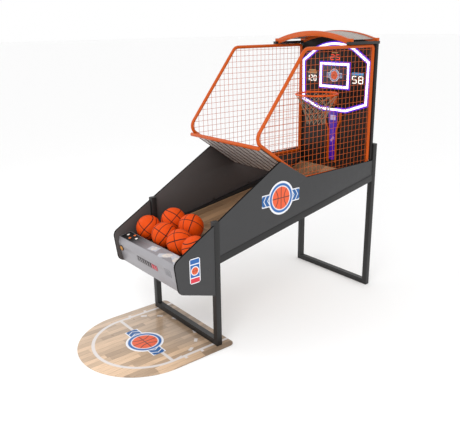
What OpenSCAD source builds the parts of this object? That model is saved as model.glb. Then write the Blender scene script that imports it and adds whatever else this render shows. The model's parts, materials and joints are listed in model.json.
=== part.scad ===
// Arcade basketball hoop machine: two U-shaped leg frames joined by sloping rails,
// dark side panels, a ball trough and ramp, a wire cage, and a lit backboard with hoop.
// X runs across the machine, Y from the player to the backboard, Z up.
// Lengths along Y are measured from the front face of the front posts and are then
// moved, so that the origin lies on the floor under the middle of the whole machine.

/* [Leg frames] */
// Width over the outer faces of the posts
frame_w = 980; // [900:1:1100]
// Side of the square frame tube
post_s = 50; // [40:1:60]
// Wall of the square frame tube
post_wall = 2; // [1.5:0.5:4]
// Distance from the front posts to the rear posts, front face to front face
rear_y = 1915; // [1750:1:2300]
// Height of the front posts
front_post_z = 1090; // [1060:1:1300]
// Height of the rear posts
rear_post_z = 1456; // [1420:1:1750]

/* [Side rails and panels] */
// Height of the rail's upper edge at the front posts
rail_front_z = 802; // [760:1:830]
// Height of the rail's upper edge at the rear posts
rail_rear_z = 1158; // [1100:1:1200]
// Upright depth of the rail
rail_h = 62; // [50:1:75]
// Thickness of the side panels and wings
panel_t = 18; // [12:1:25]
// How far the panels lie inside the posts' outer faces
panel_inset = 3; // [1:0.5:6]
// Height of the panels' upper edge at the front posts
panel_front_z = 1096; // [1080:1:1120]
// Place of the panels' peak along the machine
peak_y = 705; // [650:1:800]
// Height of the peak
peak_z = 1473; // [1440:1:1520]
// Place of the valley behind the peak
valley_y = 1020; // [980:1:1100]
// Height of the valley
valley_z = 1287; // [1260:1:1310]
// Height of the panels' upper edge at the rear posts
panel_rear_z = 1302; // [1280:1:1330]

/* [Front wings and control box] */
// Reach of the wings in front of the posts, at the sharp nose
wing_reach = 383; // [340:1:420]
// Height of the wing's sharp lower nose
wing_low_z = 584; // [550:1:620]
// How far the lower nose lies behind the upper one
wing_lean = 33; // [10:1:60]
// Height of the wing's lower edge at the posts
wing_post_z = 472; // [440:1:500]
// Sheet thickness of the control box
box_t = 3; // [2:0.5:5]
// Height of the deck's rear edge
deck_rear_z = 823; // [810:1:835]
// Drop of the deck from its rear edge to its front edge
deck_drop = 21; // [10:1:30]
// Depth of the deck
deck_d = 109; // [95:1:125]
// Diameter of a deck button
button_d = 24; // [18:1:30]
// Travel of a deck button
button_travel = 3; // [2:0.5:4]
// Diameter of the start button
dome_d = 44; // [34:1:50]
// Travel of the start button
dome_travel = 4; // [2:0.5:5]

/* [Ramp and balls] */
// Height of the ramp's surface at the front posts
ramp_z = 801; // [790:1:805]
// Slope of the front part of the ramp, in degrees
ramp_slope = 8.5; // [7.5:0.1:9]
// Place of the kink where the ramp becomes steeper
kink_y = 1170; // [1000:1:1300]
// Height of the ramp's surface at the back panel
ramp_rear_z = 1130; // [1115:1:1140]
// Thickness of the ramp boards
ramp_t = 15; // [12:1:18]
// Diameter of a ball
ball_d = 220; // [190:1:220]
// Wall of a ball
ball_wall = 3.5; // [2.5:0.5:6]
// Height of the trough's floor
trough_z = 750; // [735:1:760]
// Width of the ball gate's flap along the ramp
gate_len = 60; // [50:1:70]
// Distance of the gate's shaft from the front posts, along the ramp
gate_y = 275; // [260:1:300]
// Diameter of the gate's shaft
gate_shaft_d = 10; // [8:1:12]

/* [Cage] */
// Outer diameter of the cage tubes
tube_d = 30; // [25:1:36]
// Wall of the cage tubes
tube_wall = 2; // [1.5:0.5:3]
// Height of the top tubes' centre line
cage_top_z = 2360; // [2300:1:2450]
// Place of the top front corner
cage_front_y = 998; // [940:1:1050]
// Place of the lowest front corner
nose_y = 448; // [420:1:500]
// Height of the lowest front corner
nose_z = 1668; // [1640:1:1700]
// Height of the bottom tubes' centre line
cage_low_z = 1275; // [1260:1:1285]
// Bend radius of the cage tubes' centre line
bend_r = 75; // [60:1:90]
// Diameter of the front crossbar
crossbar_d = 34; // [30:1:40]
// Mesh cell along the machine
cell_y = 53; // [45:1:70]
// Mesh cell upwards
cell_z = 57; // [45:1:70]
// Width of a mesh wire
wire_w = 5; // [4:0.5:7]

/* [Back and hoop] */
// Place of the back panel's front face
back_y = 1882; // [1875:1:1885]
// How far the upper back panel reaches over each rear post
back_overlap = 38; // [30:1:44]
// Height of the middle of the backboard's rectangle
target_z = 2076; // [2050:1:2100]
// Width of the backboard's rectangle
target_w = 368; // [320:1:420]
// Height of the backboard's rectangle
target_h = 237; // [200:1:260]
// Width of the light strips
strip_w = 22; // [16:1:30]
// Height of the hoop
rim_z = 1915; // [1890:1:1930]
// Radius of the hoop's centre line
rim_r = 201; // [180:1:220]
// Diameter of the hoop's rod
rod_d = 16; // [12:1:20]
// Gap between the hoop and the backboard
rim_gap = 42; // [30:1:60]
// Height of the net
net_h = 285; // [240:1:320]
// Radius at the net's lower end
net_low_r = 88; // [75:1:110]

/* [Roof] */
// Height of the arches' top in the middle
arch_top_z = 2496; // [2480:1:2520]
// Height of the arches' top at their ends
arch_end_z = 2427; // [2420:1:2440]
// Depth of the arch band
arch_h = 46; // [36:1:60]
// Thickness of the arches
arch_t = 30; // [20:1:40]
// Place of the front arch
arch_front_y = 1530; // [1480:1:1600]

/* [Floor mat] */
// Half width of the mat
mat_half_w = 540; // [500:1:620]
// How far the mat reaches behind the front posts' front face
mat_rear_y = 150; // [120:1:250]
// Distance from the front posts to the middle of the mat's round end
mat_round_y = 430; // [350:1:600]
// Thickness of the mat
mat_t = 8; // [4:1:12]

/* [Electronics box] */
// Width of the box on the rear of the back panel
ebox_w = 600; // [500:1:700]
// Height of the box
ebox_h = 620; // [500:1:700]
// Height of the box's underside
ebox_z = 1520; // [1480:1:1600]
// Depth of the box
ebox_d = 60; // [50:1:80]
// Sheet thickness of the box and its door
ebox_t = 2; // [1.5:0.5:3]
// Diameter of the door's hinge pins
pin_d = 6; // [5:0.5:8]

/* [Hidden] */
$fn = 64;

fit = 0.3;                          // gap between neighbours that only touch
half_w = frame_w / 2;
post_in = half_w - post_s;          // inner faces of posts and rails
panel_out = half_w - panel_inset;
panel_in = panel_out - panel_t;
rail_len = rear_y - post_s;
rail_tan = (rail_rear_z - rail_front_z) / rail_len;
top_tan = (peak_z - panel_front_z) / (peak_y - post_s);
wing_top_z = panel_front_z - top_tan * post_s;

// Rear end of the whole machine, and the shift that puts the origin under its middle
ebox_y = rear_y;                    // front of the electronics box
hinge_r = pin_d / 2 + 3;
hinge_x = -ebox_w / 2 - hinge_r - 0.5;
hinge_y = ebox_y + ebox_d;
machine_rear = max(rear_y + post_s, hinge_y + hinge_r);
machine_front = -mat_round_y - mat_half_w;
y_mid = (machine_rear + machine_front) / 2;

// Ramp
ramp_tan = tan(ramp_slope);
kink_z = ramp_z + ramp_tan * kink_y;
ramp_end_y = back_y - fit;
rear_slope = atan((ramp_rear_z - kink_z) / (ramp_end_y - kink_y));
bar_s = 30;                         // cross bars under the ramp

// Control box outline
deck_rear_y = -wing_reach + 162;
deck_front = [deck_rear_y - deck_d, deck_rear_z - deck_drop];
bevel = [deck_front[0] - 12, deck_front[1] - 47];
face_low = [-wing_reach + 80, wing_low_z - 15];
box_rear = [-22, wing_post_z + 6];
box_half = panel_in - fit;
lip_z = trough_z - 12;
deck_angle = atan(deck_drop / deck_d);
face_angle = atan((face_low[0] - bevel[0]) / (bevel[1] - face_low[1]));

// Cage
cage_x = panel_in - fit - tube_d / 2;
tube_r = tube_d / 2;
cage_rear_y = back_y - fit - tube_r;
low_tan = (nose_z - cage_low_z) / (valley_y - 15 - nose_y);
low_angle = atan(low_tan);
cage_path = [[cage_rear_y, cage_low_z], [cage_rear_y, cage_top_z], [cage_front_y, cage_top_z],
    [nose_y, nose_z], [valley_y - 15, cage_low_z]];
cage_bends = [30, 30, bend_r, bend_r, 60];
bar_along = 62;                     // from the sharp nose to the crossbar, along the lower tube
nose_half = acos(unit([cage_front_y - nose_y, cage_top_z - nose_z])
    * unit([valley_y - 15 - nose_y, cage_low_z - nose_z])) / 2;
in_bend = max(0, bend_r / tan(nose_half) - bar_along);
bar_drop = sqrt(pow(bend_r + tube_r + crossbar_d / 2 + fit, 2) - pow(in_bend, 2)) - bend_r;
bar_y = nose_y + bar_along * cos(low_angle) - bar_drop * sin(low_angle);
bar_z = nose_z - bar_along * sin(low_angle) - bar_drop * cos(low_angle);

// Back and hoop
back_half_w = post_in + back_overlap;
board_t = 8;
board_gap = 1.7;                    // from the backboard's widest place to the cage tubes
board_border = 12;                  // around the light outline
led_half_w = panel_in - fit - tube_d - board_gap - board_border;
board_y = back_y - board_t;
strip_t = 12;
rim_y = board_y - rim_gap - rim_r;
net_wall = 4;
net_top_r = rim_r - net_wall / 2;
arch_ro = (pow(post_in, 2) + pow(arch_top_z - arch_end_z, 2)) / (2 * (arch_top_z - arch_end_z));
roof_rail_h = 24;
roof_rail_z = cage_top_z + tube_r + fit;
back_low_z = ramp_rear_z - 50;
back_step_z = panel_rear_z + 4;

// Buttons: a diamond of four on the left of the deck
button_mid = [-340, deck_d / 2 + 5];
button_at = [[-69, 0], [0, 26], [0, -26], [69, 0]];
overlay_t = 1;
dome_at = [-432, 138];              // on the sloping face, from its lower edge

button_hole = 20;
dome_hole = 36;
grille_mid = [308, 141];            // on the sloping face
grille_w = 84;
grille_h = 64;

// Ball gate
trough_t = 12;
gate_axis_z = -ramp_t / 2;
gate_clear = norm([4, ramp_t / 2]) + 1;
flap_half = post_in - 30;

// Light outline on the backboard, anticlockwise from its lower right corner
led_low_z = target_z - 341;
led_arc_r = 601;
led_top_z = target_z + 309;
led_right = [[165, led_low_z], [led_half_w - 10, led_low_z + 80], [led_half_w, led_low_z + 480],
    [240, led_top_z - 50]];
led_arc = [for (a = [60:-15:-60]) let (x = 240 * a / 75)
    [x, led_top_z - led_arc_r + sqrt(led_arc_r * led_arc_r - x * x)]];
led_path = concat(led_right, led_arc, [for (i = [3:-1:0]) [-led_right[i][0], led_right[i][1]]]);

inlet_x = 200;                      // power inlet on the box's underside

// Balls: four in front, two behind them in the gaps
front_ball_y = -96;
front_ball_z = trough_z + ball_d / 2 + fit;
back_ball_z = ball_d / 2 / cos(ramp_slope) + ramp_z + fit;

// Rounded outline: each corner of pts gets an arc of its own radius
function unit(v) = v / norm(v);
function corner_arc(a, b, c, r, n) =
    let (u = unit(a - b), w = unit(c - b), half = acos(max(-1, min(1, u * w))) / 2,
         d = r / tan(half), s = b + u * d, e = b + w * d,
         m = b + unit(u + w) * (r / sin(half)),
         a0 = atan2(s[1] - m[1], s[0] - m[0]), a1 = atan2(e[1] - m[1], e[0] - m[0]),
         turn = a1 - a0 > 180 ? a1 - a0 - 360 : a1 - a0 < -180 ? a1 - a0 + 360 : a1 - a0)
    [for (i = [0:n]) m + r * [cos(a0 + turn * i / n), sin(a0 + turn * i / n)]];
function rounded(pts, radii, n = 8) =
    let (k = len(pts))
    [for (i = [0:k - 1]) each (radii[i] == 0 ? [pts[i]] :
        corner_arc(pts[(i + k - 1) % k], pts[i], pts[(i + 1) % k], radii[i], n))];

// Outline moved inwards by t, and a bent sheet of thickness t along an open path
function left_of(a, b) = let (u = unit(b - a)) [-u[1], u[0]];
function mitre(p, n, m, t) = let (s = unit(n + m)) p + s * t / (s * m);
function inset(pts, t) = let (k = len(pts)) [for (i = [0:k - 1])
    mitre(pts[i], left_of(pts[(i + k - 1) % k], pts[i]), left_of(pts[i], pts[(i + 1) % k]), t)];
function sheet(pts, t) = let (k = len(pts) - 1) concat(pts, [for (i = [k:-1:0])
    mitre(pts[i], left_of(pts[max(i - 1, 0)], pts[max(i, 1)]),
        left_of(pts[min(i, k - 1)], pts[min(i + 1, k)]), t)]);

module machine() { translate([0, -y_mid, 0]) children(); }
// A profile drawn in Y and Z, pushed out along X from x
module side_slab(x, t) {
    translate([x, 0, 0]) rotate([90, 0, 90]) linear_extrude(t) children();
}
// A profile drawn in X and Z, pushed out along Y from y
module front_slab(y, t) {
    translate([0, y + t, 0]) rotate([90, 0, 0]) linear_extrude(t) children();
}
module both_sides() {
    children();
    mirror([1, 0, 0]) children();
}
// Local frames: y along the slope, z out of the surface
module on_ramp() { translate([0, 0, ramp_z]) rotate([ramp_slope, 0, 0]) children(); }
module on_deck() {
    translate([0, deck_front[0], deck_front[1]]) rotate([deck_angle, 0, 0]) children();
}
// x across the face, y up along it from its lower edge, z out towards the player
module on_face() {
    translate([0, face_low[0], face_low[1]]) rotate([90 + face_angle, 0, 0]) children();
}

// Tube bent along a flat open path drawn in X and Y, as one swept skin
module swept_tube(path, r, wall, sides = 16) {
    k = len(path);
    function across(i) =
        i == 0 ? left_of(path[0], path[1]) : i == k - 1 ? left_of(path[k - 2], path[k - 1]) :
        mitre([0, 0], left_of(path[i - 1], path[i]), left_of(path[i], path[i + 1]), 1);
    function ring(i, r) = let (n = across(i)) [for (s = [0:sides - 1])
        let (a = 360 * s / sides, p = path[i] + n * r * cos(a)) [p[0], p[1], r * sin(a)]];
    points = [for (rr = [r, r - wall]) for (i = [0:k - 1]) each ring(i, rr)];
    function at(skin, i, s) = (skin * k + i) * sides + s % sides;
    skins = [for (i = [0:k - 2]) for (s = [0:sides - 1]) each [
        [at(0, i, s), at(0, i + 1, s), at(0, i + 1, s + 1), at(0, i, s + 1)],
        [at(1, i, s), at(1, i, s + 1), at(1, i + 1, s + 1), at(1, i + 1, s)]]];
    ends = [for (s = [0:sides - 1]) each [
        [at(0, 0, s), at(0, 0, s + 1), at(1, 0, s + 1), at(1, 0, s)],
        [at(0, k - 1, s), at(1, k - 1, s), at(1, k - 1, s + 1), at(0, k - 1, s + 1)]]];
    polyhedron(points, concat(skins, ends));
}

// ---- Frame
module leg_frame(y, z0, top) {
    translate([0, y, z0]) difference() {
        union() {
            both_sides() translate([post_in, 0, 0]) cube([post_s, post_s, top - z0]);
            translate([-half_w, 0, 0]) cube([frame_w, post_s, post_s]);
        }
        both_sides() translate([post_in + post_wall, post_wall, post_wall])
            cube([post_s - 2 * post_wall, post_s - 2 * post_wall, top]);
        translate([post_wall - half_w, post_wall, post_wall])
            cube([frame_w - 2 * post_wall, post_s - 2 * post_wall, post_s - 2 * post_wall]);
    }
}
module front_leg_frame() { color([0.12, 0.12, 0.12]) machine() leg_frame(0, mat_t, front_post_z); }
module rear_leg_frame() { color([0.12, 0.12, 0.12]) machine() leg_frame(rear_y, 0, rear_post_z); }

module cap(y, top) {
    plug = post_s - 2 * post_wall - 2 * fit;
    both_sides() translate([post_in + post_s / 2, y + post_s / 2, top]) {
        translate([-post_s / 2, -post_s / 2, 0]) cube([post_s, post_s, 4]);
        translate([-plug / 2, -plug / 2, -14]) cube([plug, plug, 14]);
    }
}
module post_caps() {
    color([0.08, 0.08, 0.08]) machine() {
        cap(0, front_post_z);
        cap(rear_y, rear_post_z);
    }
}

module rail_outline(inset, grow) {
    polygon([[post_s - grow, rail_front_z - rail_h + inset - grow * rail_tan],
        [rear_y + grow, rail_rear_z - rail_h + inset + grow * rail_tan],
        [rear_y + grow, rail_rear_z - inset + grow * rail_tan],
        [post_s - grow, rail_front_z - inset - grow * rail_tan]]);
}
module side_rails() {
    color([0.13, 0.13, 0.13]) machine() both_sides() difference() {
        side_slab(post_in, post_s) rail_outline(0, 0);
        side_slab(post_in + post_wall, post_s - 2 * post_wall) rail_outline(post_wall, 10);
    }
}

module cross_bars() {
    under = [for (y = [120, 700, kink_y - 30]) [y, ramp_z + ramp_tan * (y - bar_s / 2)],
        [ramp_end_y - 90, ramp_rear_z - tan(rear_slope) * (90 + bar_s / 2)]];
    color([0.12, 0.12, 0.12]) machine() for (b = under)
        translate([-post_in, b[0] - bar_s / 2, b[1] - ramp_t / cos(rear_slope) - fit - bar_s])
            difference() {
                cube([2 * post_in, bar_s, bar_s]);
                translate([-1, post_wall, post_wall])
                    cube([2 * post_in + 2, bar_s - 2 * post_wall, bar_s - 2 * post_wall]);
            }
}

// ---- Panels
module side_panel() {
    side_slab(panel_in, panel_t) polygon(rounded([[post_s, rail_front_z], [rear_y, rail_rear_z],
        [rear_y, panel_rear_z], [valley_y, valley_z], [peak_y, peak_z], [post_s, panel_front_z]],
        [0, 0, 0, 12, 40, 0]));
}
module right_side_panel() { color([0.31, 0.31, 0.31]) machine() side_panel(); }
module left_side_panel() { color([0.31, 0.31, 0.31]) machine() mirror([1, 0, 0]) side_panel(); }

module wing() {
    nose_top_z = wing_top_z - top_tan * wing_reach;
    side_slab(panel_in, panel_t) polygon(rounded([[0, wing_post_z], [0, wing_top_z],
        [-wing_reach, nose_top_z], [-wing_reach + wing_lean, wing_low_z]], [0, 0, 65, 60]));
}
module right_wing() { color([0.31, 0.31, 0.31]) machine() wing(); }
module left_wing() { color([0.31, 0.31, 0.31]) machine() mirror([1, 0, 0]) wing(); }

// Angle clips that hold the panels to the rails, and the wing screws
module panel_fasteners() {
    clip_t = 3;
    color([0.1, 0.1, 0.1]) machine() both_sides() {
        for (y = [250, 700, 1150, 1600]) {
            z = rail_front_z + rail_tan * (y - post_s);
            translate([0, y, z]) rotate([atan(rail_tan), 0, 0]) {
                translate([panel_in - 24, 0, fit]) cube([24, 30, clip_t]);
                translate([panel_in - clip_t, 0, fit]) cube([clip_t, 30, 26]);
            }
        }
        for (z = [540, 650]) {
            translate([panel_in - clip_t, -32, z]) cube([clip_t, 32, 24]);
            translate([post_in, -clip_t, z]) cube([panel_in - post_in, clip_t, 24]);
        }
        translate([panel_out, -61, 720]) rotate([0, 90, 0]) cylinder(d = 10, h = 2);
    }
}

// ---- Control box and its fittings
module control_box() {
    shell = sheet([[deck_rear_y, lip_z], [deck_rear_y, deck_rear_z], deck_front, bevel, face_low,
        box_rear], box_t);
    color([0.69, 0.68, 0.69]) machine() difference() {
        side_slab(-box_half, 2 * box_half) polygon(shell);
        on_deck() for (b = button_at)
            translate([button_mid[0] + b[0], button_mid[1] + b[1], -box_t * 2])
                cylinder(d = button_hole, h = box_t * 4);
        on_face() translate([dome_at[0], dome_at[1], -box_t * 2]) cylinder(d = dome_hole, h = box_t * 4);
        on_face() translate([grille_mid[0], grille_mid[1], -box_t * 2])
            cylinder(d = grille_h - 14, h = box_t * 4);
    }
}
module deck_overlay() {
    len = norm([deck_d, deck_drop]);
    color([0.33, 0.33, 0.34]) machine() on_deck() difference() {
        translate([6 - box_half, 4, 0]) cube([2 * box_half - 12, len - 8, overlay_t]);
        for (b = button_at) translate([button_mid[0] + b[0], button_mid[1] + b[1], -1])
            cylinder(d = button_hole, h = overlay_t + 2);
    }
}
// Ring of a button with its sleeve, standing on a surface at z = 0
module bezel(hole, cap_d, rise) {
    rotate_extrude() polygon([[hole / 2 - 4, -14], [hole / 2 - 0.1, -14], [hole / 2 - 0.1, 0],
        [cap_d / 2 + 4, 0], [cap_d / 2 + 3, rise], [cap_d / 2 + 0.4, rise], [cap_d / 2 + 0.4, 1],
        [hole / 2 - 4, 1]]);
}
// Cap and stem of a button; the cap stays clear of its ring by more than its travel
module button(hole, cap_d, travel, crown) {
    z = 1 + travel + fit;
    rotate_extrude() polygon([[0, -18], [hole / 2 - 4.3, -18], [hole / 2 - 4.3, z],
        [cap_d / 2, z], [cap_d / 2, z + 3], [cap_d / 2 * 0.8, z + 3 + crown * 0.6],
        [cap_d / 2 * 0.4, z + 3 + crown * 0.93], [0, z + 3 + crown]]);
}
module button_bezels() {
    color([0.15, 0.1, 0.08]) machine() {
        on_deck() for (b = button_at)
            translate([button_mid[0] + b[0], button_mid[1] + b[1], overlay_t])
                bezel(button_hole, button_d, 4);
        on_face() translate([dome_at[0], dome_at[1], 0]) bezel(dome_hole, dome_d, 6);
    }
}
module deck_button(i) {
    machine() on_deck() translate([button_mid[0] + button_at[i][0], button_mid[1] + button_at[i][1],
        overlay_t]) button(button_hole, button_d, button_travel, 1.5);
}
module deck_button_1() { color([0.92, 0.9, 0.88]) deck_button(0); }
module deck_button_2() { color([0.85, 0.4, 0.15]) deck_button(1); }
module deck_button_3() { color([0.85, 0.4, 0.15]) deck_button(2); }
module deck_button_4() { color([0.92, 0.9, 0.88]) deck_button(3); }
module start_button() {
    color([0.76, 0.52, 0.28]) machine() on_face() translate([dome_at[0], dome_at[1], 0])
        button(dome_hole, dome_d, dome_travel, 7);
}
module name_plate() {
    color([0.75, 0.75, 0.75]) machine() on_face() translate([-175, 99, 0])
        linear_extrude(2) polygon(rounded([[0, 0], [325, 0], [325, 46], [0, 46]], [8, 8, 8, 8]));
}
module speaker_grille() {
    color([0.6, 0.6, 0.61]) machine() on_face() translate([grille_mid[0], grille_mid[1], 0])
        difference() {
            translate([-grille_w / 2, -grille_h / 2, 0]) cube([grille_w, grille_h, 2]);
            for (i = [-3:3], j = [-2:2]) translate([i * 10, j * 10, -1]) cylinder(d = 6, h = 4);
        }
}
module speaker() {
    color([0.1, 0.1, 0.1]) machine() on_face()
        translate([grille_mid[0], grille_mid[1], -box_t - fit]) mirror([0, 0, 1]) {
            cylinder(d = grille_h + 10, h = 4);
            translate([0, 0, 4]) cylinder(d1 = grille_h, d2 = 34, h = 18);
            translate([0, 0, 22]) cylinder(d = 40, h = 12);
        }
}

// ---- Trough, ramp and gate
module ball_trough() {
    wall_y = deck_rear_y + fit + trough_t;
    path = [[wall_y, deck_rear_z - 30], [wall_y, trough_z], [-40, trough_z], [-fit, ramp_z]];
    color([0.55, 0.42, 0.3]) machine() side_slab(-box_half, 2 * box_half) intersection() {
        polygon(sheet(path, -trough_t));
        translate([-wing_reach, 0]) square([wing_reach - fit, deck_rear_z]);
    }
}
module ramp_boards() {
    end_y = ramp_end_y - ramp_t * sin(rear_slope);
    side_slab(fit - post_in, 2 * (post_in - fit))
        polygon(sheet([[0, ramp_z], [kink_y, kink_z],
            [end_y, ramp_rear_z - (ramp_end_y - end_y) * tan(rear_slope)]], -ramp_t));
}
module ramp() {
    color([0.72, 0.58, 0.44]) machine() difference() {
        ramp_boards();
        on_ramp() translate([-half_w, gate_y - gate_len - 3, -2 * ramp_t])
            cube([frame_w, gate_len + 3 + gate_clear, 3 * ramp_t]);
        for (x = [-330, -110, 110, 330]) {
            on_ramp() translate([x - 5, gate_y + 40, -3]) cube([10, 780, 6]);
        }
    }
}
// Curved board at the foot of the back panel that sends balls forwards
module rear_deflector() {
    run = 110;
    rise = 26;
    foot = [ramp_end_y - run, ramp_rear_z - run * tan(rear_slope) + fit];
    back = [for (i = [0:8]) [foot[0] + run * i / 8,
        foot[1] + run * i / 8 * tan(rear_slope) + rise * pow(i / 8, 2) + 1]];
    color([0.66, 0.52, 0.38]) machine() side_slab(fit - post_in, 2 * (post_in - fit))
        polygon(concat(back, [[ramp_end_y, ramp_rear_z + fit], foot]));
}
module gate_flap() {
    color([0.72, 0.58, 0.44]) machine() on_ramp() difference() {
        translate([-flap_half, gate_y - gate_len, -ramp_t]) cube([2 * flap_half, gate_len + 4, ramp_t]);
        translate([-flap_half - 1, gate_y, gate_axis_z]) rotate([0, 90, 0])
            cylinder(d = gate_shaft_d + 0.1, h = 2 * flap_half + 2);
    }
}
module gate_shaft() {
    color([0.7, 0.7, 0.72]) machine() on_ramp() translate([-post_in + 2, gate_y, gate_axis_z])
        rotate([0, 90, 0]) cylinder(d = gate_shaft_d, h = 2 * post_in - 4);
}
module gate_bearings() {
    color([0.2, 0.2, 0.2]) machine() on_ramp() both_sides() difference() {
        translate([flap_half + 2, gate_y - 14, gate_axis_z - 14])
            cube([post_in - flap_half - 2 - fit, 14 + gate_clear - 1, 21]);
        translate([flap_half, gate_y, gate_axis_z]) rotate([0, 90, 0])
            cylinder(d = gate_shaft_d + 0.1, h = 60);
    }
}
module gate_motor() {
    color([0.25, 0.25, 0.27]) machine() on_ramp() translate([200, gate_y - 5, -ramp_t - fit]) {
        translate([0, 14.7, -46]) cube([70, 50, 46]);
        translate([35, 14.7, -20]) rotate([90, 0, 0]) cylinder(d = 12, h = 10);
        translate([30, -30, -24]) cube([10, 34.7, 8]);
    }
}
// Hollow ball with its valve hole towards the rear
module ball(x, y, z) {
    translate([x, y, z]) difference() {
        sphere(d = ball_d, $fn = 96);
        sphere(d = ball_d - 2 * ball_wall, $fn = 96);
        rotate([-90, 0, 0]) cylinder(d = 3, h = ball_d);
    }
}
module ball_1() { color([0.92, 0.33, 0.14]) machine() ball(-355, front_ball_y, front_ball_z); }
module ball_2() { color([0.92, 0.33, 0.14]) machine() ball(-100, front_ball_y, front_ball_z); }
module ball_3() { color([0.92, 0.33, 0.14]) machine() ball(136, front_ball_y, front_ball_z); }
module ball_4() { color([0.92, 0.33, 0.14]) machine() ball(357, front_ball_y, front_ball_z); }
module ball_5() { color([0.92, 0.33, 0.14]) machine() ball(-220, 80, back_ball_z + ramp_tan * 80); }
module ball_6() { color([0.92, 0.33, 0.14]) machine() ball(35, 90, back_ball_z + ramp_tan * 90); }

// ---- Cage
module cage_frame() {
    // One tube, welded to itself in the middle of the bottom run
    weld = [cage_rear_y - 300, cage_low_z];
    bends = concat([0], cage_bends, [0]);
    path = rounded(concat([weld], cage_path, [weld - [fit, 0]]), bends, 6);
    translate([cage_x, 0, 0]) rotate([90, 0, 90]) swept_tube(path, tube_r, tube_wall);
}
module right_cage_frame() { color([0.78, 0.36, 0.18]) machine() cage_frame(); }
module left_cage_frame() { color([0.78, 0.36, 0.18]) machine() mirror([1, 0, 0]) cage_frame(); }

module cage_mesh() {
    // The wires end on the tubes' inner side
    inner = bend_r - tube_r + 2;
    side_slab(cage_x - 2, 4) intersection() {
        polygon(rounded(inset(cage_path, tube_r + fit), [18, 18, inner, inner, 60]));
        union() {
            for (y = [cage_rear_y - cell_y / 2:-cell_y:nose_y - 20])
                translate([y - wire_w / 2, cage_low_z - 50]) square([wire_w, cage_top_z]);
            for (z = [cage_top_z - cell_z * 0.6:-cell_z:cage_low_z])
                translate([nose_y - 50, z - wire_w / 2]) square([cage_rear_y, wire_w]);
        }
    }
}
module right_cage_mesh() { color([0.8, 0.42, 0.25]) machine() cage_mesh(); }
module left_cage_mesh() { color([0.8, 0.42, 0.25]) machine() mirror([1, 0, 0]) cage_mesh(); }

module front_crossbar() {
    color([0.78, 0.36, 0.18]) machine() translate([fit - panel_in, bar_y, bar_z]) rotate([0, 90, 0])
        difference() {
            cylinder(d = crossbar_d, h = 2 * (panel_in - fit));
            translate([0, 0, -1]) cylinder(d = crossbar_d - 2 * tube_wall, h = 2 * panel_in);
        }
}
module guard_mesh() {
    first = bar_along + crossbar_d / 2 + 1;
    last = norm([valley_y - 15 - nose_y, nose_z - cage_low_z]) - 20;
    w = 2 * (cage_x + 5);
    cols = 10;
    rows = 5;
    color([0.85, 0.83, 0.82]) machine() translate([-w / 2, nose_y, nose_z]) rotate([-low_angle, 0, 0])
        translate([0, first, -tube_r - fit - 4]) linear_extrude(4) difference() {
            square([w, last - first]);
            for (i = [0:cols - 1], j = [0:rows - 1])
                translate([i * w / cols + 3, j * (last - first) / rows + 3])
                    square([w / cols - 6, (last - first) / rows - 6]);
        }
}

// ---- Back, backboard and hoop
module arch_sector(r_out, r_in) {
    intersection() {
        translate([0, arch_top_z - arch_ro]) difference() {
            circle(r = r_out, $fn = 360);
            circle(r = r_in, $fn = 360);
        }
        translate([-post_in, cage_top_z - 40]) square([2 * post_in, 400]);
    }
}
module back_panel() {
    color([0.1, 0.09, 0.09]) machine() front_slab(back_y, rear_y - fit - back_y) {
        translate([fit - post_in, back_low_z]) square([2 * (post_in - fit), back_step_z - back_low_z + 1]);
        translate([-back_half_w, back_step_z])
            square([2 * back_half_w, roof_rail_z - fit - back_step_z]);
        intersection() {
            translate([0, arch_top_z - arch_ro]) circle(r = arch_ro - arch_h - fit, $fn = 360);
            translate([-post_in, roof_rail_z - fit - 1]) square([2 * post_in, 200]);
        }
    }
}
module backboard() {
    color([0.08, 0.07, 0.08]) machine() front_slab(board_y, board_t) polygon(inset(led_path, -board_border));
}
module led_strips() {
    color([0.96, 0.93, 1]) machine() front_slab(board_y - strip_t, strip_t) {
        difference() {
            polygon(led_path);
            polygon(inset(led_path, strip_w));
        }
        translate([-target_w / 2, target_z - target_h / 2]) difference() {
            square([target_w, target_h]);
            translate([strip_w, strip_w]) square([target_w - 2 * strip_w, target_h - 2 * strip_w]);
        }
    }
}
module emblem_plate() {
    w = target_w - 2 * strip_w - 16;
    h = target_h - 2 * strip_w - 16;
    color([0.2, 0.1, 0.4]) machine() front_slab(board_y - 3, 3)
        translate([-w / 2, target_z - h / 2]) square([w, h]);
}
module score_displays() {
    color([0.12, 0.1, 0.1]) machine() front_slab(board_y - 4, 4) {
        both_sides() translate([205, target_z - 76]) square([165, 110]);
        translate([-75, target_z + 134]) square([150, 52]);
    }
}
module rim_bracket() {
    color([0.8, 0.35, 0.12]) machine() {
        translate([-45, board_y - 5, rim_z - 112]) cube([90, 5, 120]);
        translate([-30, board_y - 5 - rim_gap + rod_d, rim_z - 8 - fit - 34])
            cube([60, rim_gap - rod_d, 34]);
        for (x = [-33, 33], z = [rim_z - 100, rim_z - 60])
            translate([x, board_y - 5, z]) rotate([90, 0, 0]) cylinder(d = 10, h = 4);
    }
}
module rim() {
    color([0.85, 0.36, 0.12]) machine() {
        translate([0, rim_y, rim_z]) rotate_extrude($fn = 96) translate([rim_r, 0]) circle(d = rod_d);
        translate([-40, rim_y + rim_r, rim_z - 6]) cube([80, rim_gap - 5 - fit, 12]);
    }
}
module net() {
    top = [net_top_r + net_wall, -rod_d / 2 - fit - net_wall / 2];
    color([0.7, 0.66, 0.6]) machine() translate([0, rim_y, rim_z]) rotate_extrude()
        polygon(sheet([top, [net_top_r * 0.78, -net_h * 0.35], [net_top_r * 0.56, -net_h * 0.7],
            [net_low_r, -net_h]], -net_wall));
}
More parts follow.
